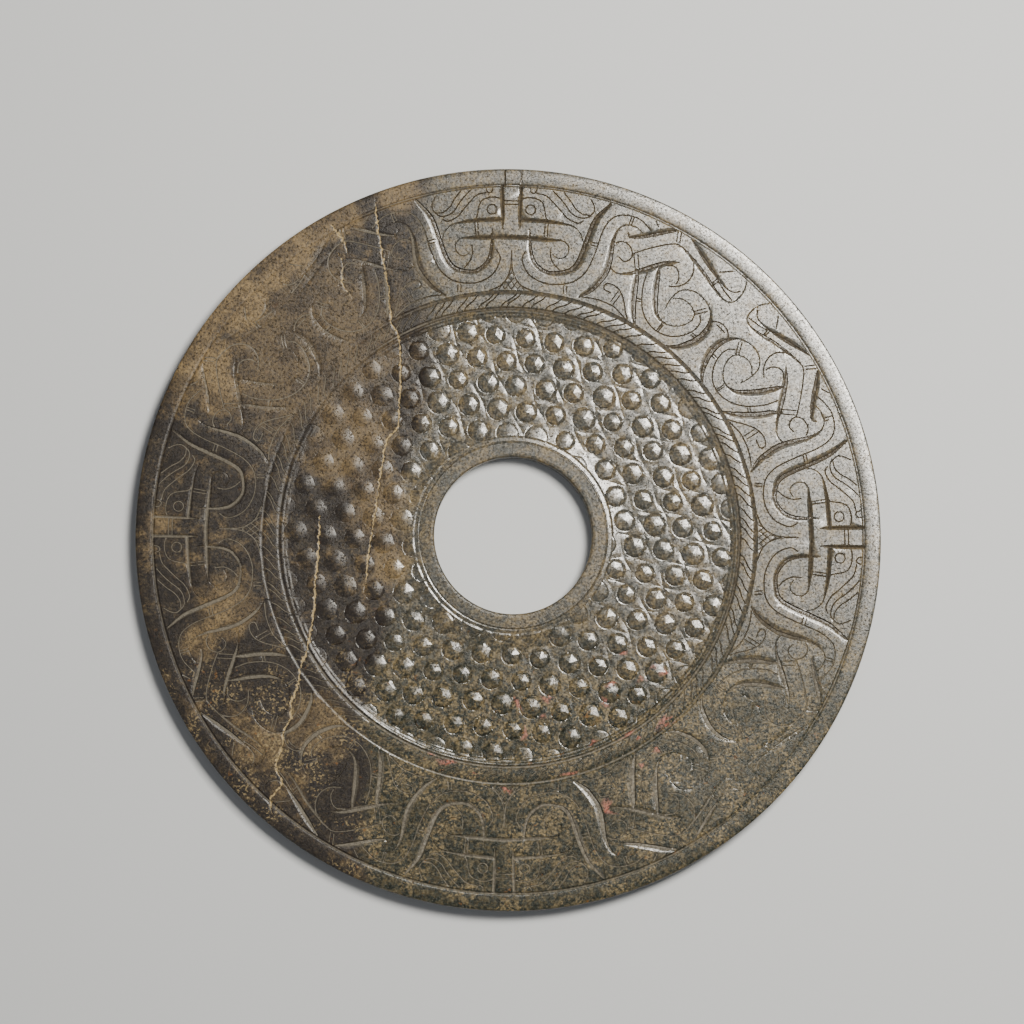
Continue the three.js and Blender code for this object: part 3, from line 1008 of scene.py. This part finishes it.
def new_group(name, inputs):
    tree = bpy.data.node_groups.new(name, "ShaderNodeTree")
    for label, kind, value in inputs:
        socket = tree.interface.new_socket(label, in_out="INPUT", socket_type=kind)
        if value is not None:
            socket.default_value = value
    tree.interface.new_socket("Result", in_out="OUTPUT", socket_type=FLOAT)
    recipe = Recipe(tree)
    return tree, recipe, recipe.node("NodeGroupInput"), recipe.node("NodeGroupOutput")


# %% [markdown]
# A patch is round and fades out at its edge. A noise that comes in from outside makes the
# edge ragged, and is worked out only once for all the patches.

# %% Node group: a soft patch with a ragged edge
patch, build, given, result = new_group("ragged_patch", [
    ("Where", VECTOR, None), ("Centre", VECTOR, None), ("Size", FLOAT, 20.0),
    ("Edge", FLOAT, 0.5), ("Ragged", FLOAT, 0.4)])
distance = build.vector("DISTANCE", given.outputs["Where"], given.outputs["Centre"])
share = build.maths("DIVIDE", distance, given.outputs["Size"])
wobble = build.maths("MULTIPLY", build.maths("SUBTRACT", given.outputs["Edge"], .5),
                     given.outputs["Ragged"])
reach = build.maths("MULTIPLY_ADD", wobble, 4, share)
build.feed(result.inputs[0], build.between(reach, 1.05, .55))

# %% [markdown]
# Specks are the peaks of a noise. The two limits say how many there are and how soft.

# %% Node group: specks of a mineral
specks, build, given, result = new_group("specks", [
    ("Where", VECTOR, None), ("Scale", FLOAT, 1.0), ("Low", FLOAT, .6), ("High", FLOAT, .68)])
fine = build.noise(given.outputs["Where"], given.outputs["Scale"], 2.5, .6)
build.feed(result.inputs[0], build.between(fine, given.outputs["Low"], given.outputs["High"]))

# %% [markdown]
# ## The jade
#
# This nephrite is a dark grey-green stone with a hard polish. A third of it is purple-brown,
# with ochre clouds where it has weathered, and its lower part is dark olive and thick with
# tan specks. In the carving the polish stops: the cuts are dull, and hold a little brown
# earth. On the polished grey the cuts and the low ground are painted dark, partly that earth
# and partly painted shade in the hollows; on the brown and the olive they are painted as paler
# dull stone. The masks for the cuts, the painted shade, the cracks and the red pigment were
# stored on the mesh.

# %% Colours, in linear light
GREY_JADE = (.05, .051, .045)
OLIVE_JADE = (.0155, .0195, .0145)
BROWN_JADE = (.0145, .0115, .0107)
WARM_GREY = (.075, .062, .042)
OCHRE = (.22, .15, .066)
TAN = (.225, .17, .085)
RUST = (.15, .065, .015)
PIT = (.010, .008, .005)
# Dark earth in the cuts of the grey, which also serves as painted shade in the hollows.
CUT_DULL = (.15, .134, .105)
CUT_EARTH_AND_SHADE = (.04, .029, .015)
CRACK_FILL = (.36, .27, .135)
CINNABAR = (.33, .12, .085)

# %% [markdown]
# The ochre follows the weathered rim and a few soft spots. Each cloud is one patch of the
# group above, with its centre and size in mm and how dense it is.

# %% Places of the ochre clouds
OCHRE_CLOUDS = [((-101, 58), 17, 1), ((-89, 76), 14, .95), ((-75, 91), 14, .9),
                ((-58, 104), 12, .8), ((-36, 112), 9, .75), ((-93, 46), 9, .85),
                ((-64, 60), 34, .42), ((-52, 30), 18, .6), ((-42, 8), 12, .6),
                ((-91, -24), 11, .9), ((-99, -34), 7, .8), ((-62, -60), 11, .7),
                ((-79, -68), 9, .65), ((-38, -9), 8, .8), ((-113, 4), 5, .8)]

# %% [markdown]
# ### Three zones of stone
#
# The grey, the brown and the olive meet along ragged borders. They could be painted, but a
# straight limit that a slow noise pushes to and fro gives such a border from a few
# numbers: the brown lies left of one limit, the olive below another, and both fade in
# over some millimetres. The place on the stone is read from the object's own coordinates,
# turned into millimetres, so the pattern keeps its size.

# %% Zones of the stone
BORDER_DRIFT = 30
BROWN_LIMITS = (-22, -30)
OLIVE_LIMITS = (-12, -62)
jade = bpy.data.materials.new("nephrite")
jade.use_nodes = True
mix = Recipe(jade.node_tree)
shader = jade.node_tree.nodes["Principled BSDF"]
place_node = mix.node("ShaderNodeTexCoord")
here = mix.vector("SCALE", place_node.outputs["Object"], scale=1000.0)
flat_here = mix.vector("MULTIPLY", here, (1, 1, 0))
across, up_down, _ = mix.node("ShaderNodeSeparateXYZ").outputs
mix.feed(across.node.inputs[0], here)


def stored(name):
    return mix.node("ShaderNodeAttribute", attribute_name=name).outputs["Fac"]


def moved(x, y, z):
    """The place on the stone, moved aside, so that two noises don't repeat each other."""
    return mix.vector("ADD", here, (x, y, z))


groove_and_shade, crack, pigment = stored("groove_and_shade"), stored("crack"), stored("pigment")
big_noise = mix.noise(here, .03, 4, .6)
drift = mix.maths("MULTIPLY", mix.maths("SUBTRACT", big_noise, .5), BORDER_DRIFT)
border = mix.maths("ADD", mix.maths("ADD", across, drift),
                   mix.maths("MULTIPLY", mix.between(up_down, 60, -70), 20))
brown_part = mix.between(border, *BROWN_LIMITS)
olive_part = mix.between(mix.maths("ADD", up_down, mix.maths("MULTIPLY", drift, 1.2)),
                         *OLIVE_LIMITS)
mottle = mix.noise(here, .11, 5, .62)
grain_noise = mix.noise(here, 1.3, 3, .7)
colour = mix.blend(mix.between(mottle, .42, .66), GREY_JADE, WARM_GREY)
colour = mix.blend(olive_part, colour, OLIVE_JADE)
colour = mix.blend(brown_part, colour, BROWN_JADE)

# %% [markdown]
# ### Ochre
#
# Weathered jade isn't painted over: the ochre lies between grains that stay dark. So the
# clouds, and thin ones spread over the whole brown part, are broken by a fine stipple.

# %% Ochre clouds
clouds = None
cloud_edge = mix.noise(flat_here, .13, 6, .62)
for centre, size, amount in OCHRE_CLOUDS:
    cloud = mix.group(patch, Where=flat_here, Centre=(*centre, 0), Size=float(size),
                      Edge=cloud_edge)
    cloud = mix.maths("MULTIPLY", cloud, amount)
    clouds = cloud if clouds is None else mix.maths("MAXIMUM", clouds, cloud)
thin_cloud = mix.between(mix.noise(here, .1, 6, .72, .3), .52, .66, 0, .6)
clouds = mix.maths("MAXIMUM", clouds, mix.maths("MULTIPLY", thin_cloud, brown_part))
stipple = mix.noise(mix.vector("MULTIPLY", here, (1, .7, 1)), 1.3, 5, .78)
broken = mix.maths("MULTIPLY", clouds, mix.between(stipple, .36, .58, .2, 1))
broken = mix.maths("MULTIPLY", broken, mix.between(mottle, .38, .56, .45, 1))
colour = mix.blend(broken, colour, OCHRE)
print("ochre clouds:", len(OCHRE_CLOUDS))

# %% [markdown]
# ### Specks, stains and pits
#
# The olive part is thick with tan specks and has a few rusty ones. Brown stains dull the
# polish of the grey part, and small open pits are scattered everywhere. One group makes
# them all, with another scale and another threshold each time.

# %% Specks, stains and pits
tan_specks = mix.group(specks, Where=here, Scale=1.15, Low=.545, High=.6)
tan_zone = mix.maths("MAXIMUM", mix.maths("MULTIPLY", olive_part, .9),
                     mix.maths("MULTIPLY", brown_part, .16))
tan_zone = mix.maths("MAXIMUM", tan_zone, .06)
speck_patch = mix.between(mottle, .45, .58, .1, 1)
tan_mask = mix.maths("MULTIPLY", mix.maths("MULTIPLY", tan_specks, tan_zone), speck_patch)
colour = mix.blend(tan_mask, colour, TAN)
rust_specks = mix.group(specks, Where=moved(31, 17, 5), Scale=.42, Low=.66, High=.74)
colour = mix.blend(mix.maths("MULTIPLY", rust_specks, mix.maths("MULTIPLY", tan_zone, .9)),
                   colour, RUST)
stain = mix.between(mix.noise(moved(3, 9, 40), .5, 6, .8), .44, .6)
stain = mix.maths("MULTIPLY", stain, mix.between(brown_part, 0, 1, .62, .12))
stain = mix.maths("MULTIPLY", stain, mix.between(mottle, .42, .6, .5, 1))
colour = mix.blend(stain, colour, TAN)
pits = mix.group(specks, Where=moved(7, 61, 3), Scale=1.5, Low=.58, High=.63)
colour = mix.blend(mix.maths("MULTIPLY", pits, .65), colour, PIT)

# %% [markdown]
# ### Cuts, cracks and pigment
#
# The stored marks come next. On the polished grey the cuts, and the low ground of the field
# and the bands, are painted dark: partly earth, partly painted shade. The bare dull stone of a
# cut is paler than the brown and the olive around it. Last, a fine grain makes the whole
# colour a little lighter and darker, less so in the smooth brown part.

# %% Cuts, cracks and pigment
polish_kept = mix.maths("SUBTRACT", 1, mix.maths("MAXIMUM", olive_part, brown_part))
# Painted shade: on the polished grey the cuts and the low ground are darkened, partly earth and partly
# shade; on the brown and the olive they turn paler.
cut_colour_and_shade = mix.blend(polish_kept, CUT_DULL, CUT_EARTH_AND_SHADE)
cut_and_shade_mask = mix.between(groove_and_shade, .05, .6, 0, .85)
colour = mix.blend(cut_and_shade_mask, colour, cut_colour_and_shade)
filled = mix.maths("MULTIPLY_ADD", mix.maths("SUBTRACT", grain_noise, .5), 1.6, crack)
colour = mix.blend(mix.between(filled, .3, .62), colour, CRACK_FILL)
colour = mix.blend(mix.maths("MULTIPLY", pigment, mix.between(grain_noise, .36, .52)),
                   colour, CINNABAR)
shade = mix.maths("MULTIPLY", mix.between(grain_noise, .33, .67, -.42, .5),
                  mix.between(brown_part, 0, 1, 1, .5))
shade = mix.maths("ADD", shade, 1.0)
grey = mix.node("ShaderNodeCombineColor")
for socket in grey.inputs[:3]:
    mix.feed(socket, shade)
mix.feed(shader.inputs["Base Color"], mix.blend(1.0, colour, grey.outputs[0], "MULTIPLY"))

# %% [markdown]
# ### Dullness and polish
#
# One roughness for the whole stone would make it plastic. The stone itself is fairly
# smooth, and rougher where it is cut, cracked, pitted or weathered. The hard polish is a
# coat over it: full on the grey, thinner on the olive, nearly gone on the brown, and gone
# in every cut.

# %% Dullness and polish
STONE_IOR = 1.4
POLISH_IOR = 1.85
POLISH_ROUGHNESS = 0.22
rough = mix.between(mottle, .3, .7, .24, .3)
rough = mix.maths("MULTIPLY_ADD", brown_part, .08, rough)
rough = mix.maths("MULTIPLY_ADD", broken, .08, rough)
rough = mix.maths("MULTIPLY_ADD", pits, .4, rough)
cut_dulls = mix.maths("MULTIPLY", cut_and_shade_mask, mix.between(polish_kept, 0, 1, .45, .25))
rough = mix.maths("ADD", rough, cut_dulls)
rough = mix.maths("MULTIPLY_ADD", crack, .3, rough)
rough = mix.maths("ADD", rough, mix.maths("MULTIPLY", mix.maths("SUBTRACT", grain_noise, .5), .3),
                  clamp=True)
mix.feed(shader.inputs["Roughness"], rough)
shader.inputs["IOR"].default_value = STONE_IOR

polish = mix.maths("MULTIPLY", mix.maths("MULTIPLY_ADD", brown_part, -.9, 1),
                   mix.maths("MULTIPLY_ADD", olive_part, -.3, 1))
polish = mix.maths("MULTIPLY", polish, mix.between(grain_noise, .4, .58, .3, 1.0))
for dull, amount in ((cut_and_shade_mask, .9), (pits, .9), (stain, .75), (crack, 1), (tan_mask, .5)):
    polish = mix.maths("MULTIPLY", polish, mix.maths("MULTIPLY_ADD", dull, -amount, 1))
mix.feed(shader.inputs["Coat Weight"], polish)
shader.inputs["Coat Roughness"].default_value = POLISH_ROUGHNESS
shader.inputs["Coat IOR"].default_value = POLISH_IOR

# %% [markdown]
# ### Fine relief
#
# Scratches, grain and pits are far too small for the mesh. A bump of a tenth of a
# millimetre is enough, because they only have to break up the shine.

# %% Fine relief
BUMP_DEPTH = 0.00012
BUMP_SHARE = 0.7
scratches = mix.noise(mix.vector("MULTIPLY", here, (.9, .12, 1)), 1.6, 2, .6)
fine_grain = mix.noise(here, 3.2, 2, .6)
surface = mix.maths("MULTIPLY_ADD", grain_noise, .6, mix.maths("MULTIPLY", scratches, .25))
surface = mix.maths("MULTIPLY_ADD", fine_grain, .35, surface)
surface = mix.maths("SUBTRACT", surface, mix.maths("MULTIPLY", pits, .8))
bump = mix.node("ShaderNodeBump")
bump.inputs["Strength"].default_value = BUMP_SHARE
bump.inputs["Distance"].default_value = BUMP_DEPTH
mix.feed(bump.inputs["Height"], surface)
mix.feed(shader.inputs["Normal"], bump.outputs["Normal"])
disc.data.materials.clear()
disc.data.materials.append(jade)
print("nodes in the jade:", len(jade.node_tree.nodes))

# %% [markdown]
# ## The floor
#
# The disc lies face up on a plain pale floor, large enough to fill any view of it.

# %% Floor
FLOOR_HALF = 3.0
FLOOR_COLOUR = (.64, .66, .68, 1)
FLOOR_ROUGHNESS = 0.8
floor_bm = bmesh.new()
bmesh.ops.create_grid(floor_bm, x_segments=1, y_segments=1, size=FLOOR_HALF)
floor_mesh = bpy.data.meshes.new("floor")
floor_bm.to_mesh(floor_mesh)
floor_bm.free()
floor = bpy.data.objects.new("floor", floor_mesh)
bpy.context.scene.collection.objects.link(floor)
pale = bpy.data.materials.new("pale_floor")
pale.use_nodes = True
pale_shader = pale.node_tree.nodes["Principled BSDF"]
pale_shader.inputs["Base Color"].default_value = FLOOR_COLOUR
pale_shader.inputs["Roughness"].default_value = FLOOR_ROUGHNESS
floor_mesh.materials.append(pale)

# %% [markdown]
# ## The light
#
# A polished stone shows its light source. One softbox stands beyond the upper right, where
# the face mirrors its edge: the polish turns silver on that side and fades across the
# disc, and every grain shows one lit facet. A weak softbox from the other side and an even
# studio light keep the shadows open.

# %% Light
def softbox(name, place, target, size, power):
    lamp = bpy.data.lights.new(name, "AREA")
    lamp.shape = "RECTANGLE"
    lamp.size, lamp.size_y = size
    lamp.energy = power
    holder = bpy.data.objects.new(name, lamp)
    holder.location = place
    holder.rotation_euler = (Vector(target) - Vector(place)).to_track_quat("-Z", "Y").to_euler()
    bpy.context.scene.collection.objects.link(holder)
    return holder


WARM_LIGHT = (1, .955, .87)
STUDIO_COLOUR = (.8, .82, .85, 1)
STUDIO_STRENGTH = 0.12
key = softbox("key_softbox", place=(.345, .315, .85), target=(.02, .02, 0),
              size=(.36, .36), power=15.5)
key.data.color = WARM_LIGHT
softbox("fill_softbox", place=(-.7, -.5, 1.3), target=(0, 0, 0), size=(.8, .8), power=1.8)
world = bpy.data.worlds.new("studio")
world.use_nodes = True
background = world.node_tree.nodes["Background"]
background.inputs["Color"].default_value = STUDIO_COLOUR
background.inputs["Strength"].default_value = STUDIO_STRENGTH
bpy.context.scene.world = world

# %% [markdown]
# ## The camera
#
# The camera looks almost straight down on the face. It leans a few degrees towards the
# lower left, so that a narrow strip of the wall shows in the hole at its upper right. The
# picture's upper edge stays the disc's upper side, so the camera's axes are set by hand.

# %% Camera
VIEW_WIDTH = .3294
CAMERA_DISTANCE = 1.35
LEAN = math.radians(6.5)
LEAN_TURN = math.radians(200)
SENSOR = 36
aim = Vector((.0008, .0079, FACE / 1000))
away = Vector((math.sin(LEAN_TURN) * math.sin(LEAN), math.cos(LEAN_TURN) * math.sin(LEAN),
               math.cos(LEAN)))
camera_data = bpy.data.cameras.new("camera")
camera_data.sensor_width = SENSOR
camera_data.lens = SENSOR * CAMERA_DISTANCE / VIEW_WIDTH
camera = bpy.data.objects.new("camera", camera_data)
camera.location = aim + away * CAMERA_DISTANCE
back = away.normalized()
right = Vector((0, 1, 0)).cross(back).normalized()
up = back.cross(right)
turned = camera.rotation_euler.to_matrix()
turned.col[0], turned.col[1], turned.col[2] = right, up, back
camera.rotation_euler = turned.to_euler()
bpy.context.scene.collection.objects.link(camera)
bpy.context.scene.camera = camera
